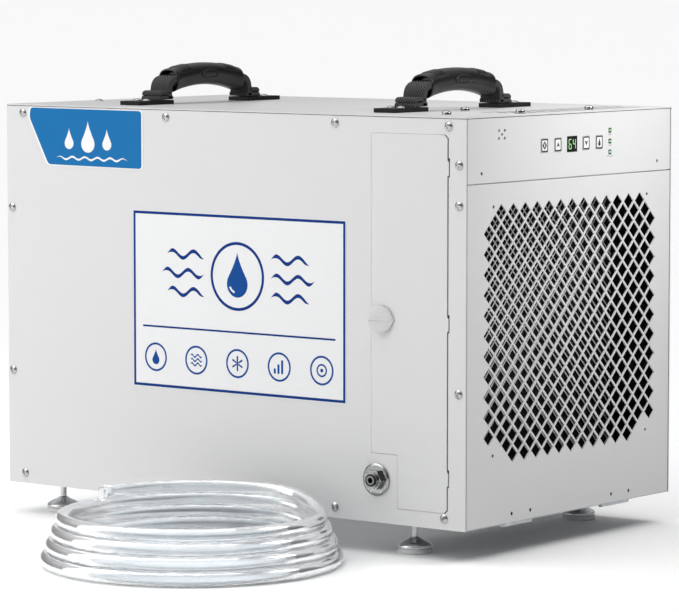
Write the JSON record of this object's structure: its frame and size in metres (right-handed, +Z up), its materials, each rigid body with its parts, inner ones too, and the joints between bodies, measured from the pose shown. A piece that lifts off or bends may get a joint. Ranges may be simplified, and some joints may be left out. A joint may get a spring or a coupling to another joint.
{
  "type": "dehumidifier",
  "caption": "Crawl-space dehumidifier: white sheet-metal cabinet on levelling feet, diamond intake grille, access door, strap handles and a coiled clear drain hose.",
  "frame": {"origin": "on the floor, under the middle of the cabinet", "axes": "+X right, towards the intake grille; +Y back; +Z up"},
  "size_m": [0.6868, 0.7755, 0.546],
  "materials": {
    "cabinet_coat": "fine-textured white powder coat",
    "front_coat": "fine-textured white powder coat",
    "cabinet_steel": "light grey powder coat",
    "zinc_steel": "zinc-plated sheet steel",
    "latch_plastic": "satin moulded",
    "nickel": "brushed nickel plate",
    "black_plastic": "moulded",
    "circuit_board": "solder mask",
    "display": "glossy window",
    "button_keys": "satin film",
    "led_lens": "lit lens",
    "filter_frame": "coated card",
    "filter_foam": "open-cell foam",
    "filter_paper": "pleated paper",
    "coil_fins": "thin bare fins",
    "copper": "drawn copper, warm tone",
    "motor_shell": "satin",
    "compressor_shell": "satin black",
    "mount_rubber": "moulded rubber",
    "clear_vinyl": "clear flexible vinyl",
    "chrome_screw": "bright plate",
    "handle_plastic": "satin moulded",
    "woven_strap": "woven webbing",
    "foot_metal": "brushed steel",
    "label_film": "printed film",
    "badge_film": "printed film"
  },
  "bodies": {
    "cabinet": {"base_pan": "cabinet_steel", "front_panel": "front_coat", "back_panel": "cabinet_coat", "top_panel": "cabinet_coat", "grille_panel": "cabinet_coat", "control_fascia": "cabinet_coat", "outlet_panel": "cabinet_coat", "hinge_brackets": "zinc_steel", "drain_fitting": "nickel", "drain_collet": "black_plastic", "control_board": "circuit_board", "display_window": "display", "status_leds": "led_lens", "filter_rails": "zinc_steel", "evaporator_fins": "coil_fins", "evaporator_tubes": "copper", "condenser_fins": "coil_fins", "condenser_tubes": "copper", "drip_tray": "black_plastic", "fan_bulkhead": "zinc_steel", "fan_motor": "motor_shell", "motor_bracket": "zinc_steel", "compressor": "compressor_shell", "compressor_mounts": "mount_rubber", "accumulator": "compressor_shell", "suction_line": "copper", "discharge_line": "copper", "liquid_line": "copper", "condensate_pump": "black_plastic", "pump_outlet_tube": "clear_vinyl", "electrical_box": "zinc_steel", "run_capacitor": "motor_shell", "cord_gland": "black_plastic", "screws": "chrome_screw", "handle_plates": "handle_plastic", "left_handle_straps": "woven_strap", "right_handle_straps": "woven_strap", "foot_nuts": "zinc_steel", "front_label": "label_film", "corner_badge": "badge_film"},
    "access_door": {"access_door": "front_coat", "hinge_arms": "zinc_steel"},
    "latch": {"latch_knob": "latch_plastic", "latch_cam": "zinc_steel"},
    "button_power": {"button_power": "button_keys"},
    "button_up": {"button_up": "button_keys"},
    "button_down": {"button_down": "button_keys"},
    "button_drain": {"button_drain": "button_keys"},
    "fan": {"fan_rotor": "black_plastic"},
    "mesh_filter": {"mesh_filter_frame": "filter_frame", "mesh_filter_media": "filter_foam"},
    "pleated_filter": {"pleated_filter_frame": "filter_frame", "pleated_filter_media": "filter_paper"},
    "left_handle": {"left_handle_grip": "handle_plastic"},
    "right_handle": {"right_handle_grip": "handle_plastic"},
    "foot_front_left": {"foot_front_left": "foot_metal"},
    "foot_front_right": {"foot_front_right": "foot_metal"},
    "foot_rear_left": {"foot_rear_left": "foot_metal"},
    "foot_rear_right": {"foot_rear_right": "foot_metal"},
    "drain_hose": {"drain_hose": "clear_vinyl"}
  },
  "joints": [
    {"name": "door_hinge", "type": "hinge", "parent": "cabinet", "child": "access_door", "pos_m": [0.333, -0.197, 0.267], "axis": [0, 0, 1], "range_deg": [0, 95]},
    {"name": "latch_turn", "type": "hinge", "parent": "access_door", "child": "latch", "pos_m": [0.2275, -0.207, 0.268], "axis": [0, 1, 0], "range_deg": [0, 90]},
    {"name": "power_press", "type": "slide", "parent": "cabinet", "child": "button_power", "axis": [-1, 0, 0], "range_m": [0, 0.0008], "stiffness_N_per_m": 800},
    {"name": "up_press", "type": "slide", "parent": "cabinet", "child": "button_up", "axis": [-1, 0, 0], "range_m": [0, 0.0008], "stiffness_N_per_m": 800},
    {"name": "down_press", "type": "slide", "parent": "cabinet", "child": "button_down", "axis": [-1, 0, 0], "range_m": [0, 0.0008], "stiffness_N_per_m": 800},
    {"name": "drain_press", "type": "slide", "parent": "cabinet", "child": "button_drain", "axis": [-1, 0, 0], "range_m": [0, 0.0008], "stiffness_N_per_m": 800},
    {"name": "fan_spin", "type": "hinge", "parent": "cabinet", "child": "fan", "pos_m": [0.08, 0, 0.267], "axis": [1, 0, 0], "continuous": true},
    {"name": "mesh_filter_slide", "type": "slide", "parent": "cabinet", "child": "mesh_filter", "axis": [0, 1, 0], "range_m": [0, 0.4]},
    {"name": "pleated_filter_slide", "type": "slide", "parent": "cabinet", "child": "pleated_filter", "axis": [0, 1, 0], "range_m": [0, 0.4]},
    {"name": "left_handle_tilt", "type": "hinge", "parent": "cabinet", "child": "left_handle", "pos_m": [-0.191, -0.022, 0.503], "axis": [0, 1, 0], "range_deg": [-25, 25], "stiffness_Nm_per_rad": 1.2, "deforming": ["left_handle_straps"]},
    {"name": "right_handle_tilt", "type": "hinge", "parent": "cabinet", "child": "right_handle", "pos_m": [0.191, -0.022, 0.503], "axis": [0, 1, 0], "range_deg": [-25, 25], "stiffness_Nm_per_rad": 1.2, "deforming": ["right_handle_straps"]},
    {"name": "foot_front_left_turn", "type": "hinge", "parent": "cabinet", "child": "foot_front_left", "pos_m": [-0.293, -0.165, 0.02], "axis": [0, 0, 1], "continuous": true},
    {"name": "foot_front_right_turn", "type": "hinge", "parent": "cabinet", "child": "foot_front_right", "pos_m": [0.242, -0.165, 0.02], "axis": [0, 0, 1], "continuous": true},
    {"name": "foot_rear_left_turn", "type": "hinge", "parent": "cabinet", "child": "foot_rear_left", "pos_m": [-0.293, 0.165, 0.02], "axis": [0, 0, 1], "continuous": true},
    {"name": "foot_rear_right_turn", "type": "hinge", "parent": "cabinet", "child": "foot_rear_right", "pos_m": [0.242, 0.165, 0.02], "axis": [0, 0, 1], "continuous": true},
    {"name": "hose_lift", "type": "slide", "parent": "cabinet", "child": "drain_hose", "axis": [0, 0, 1], "range_m": [0, 0.3]}
  ]
}
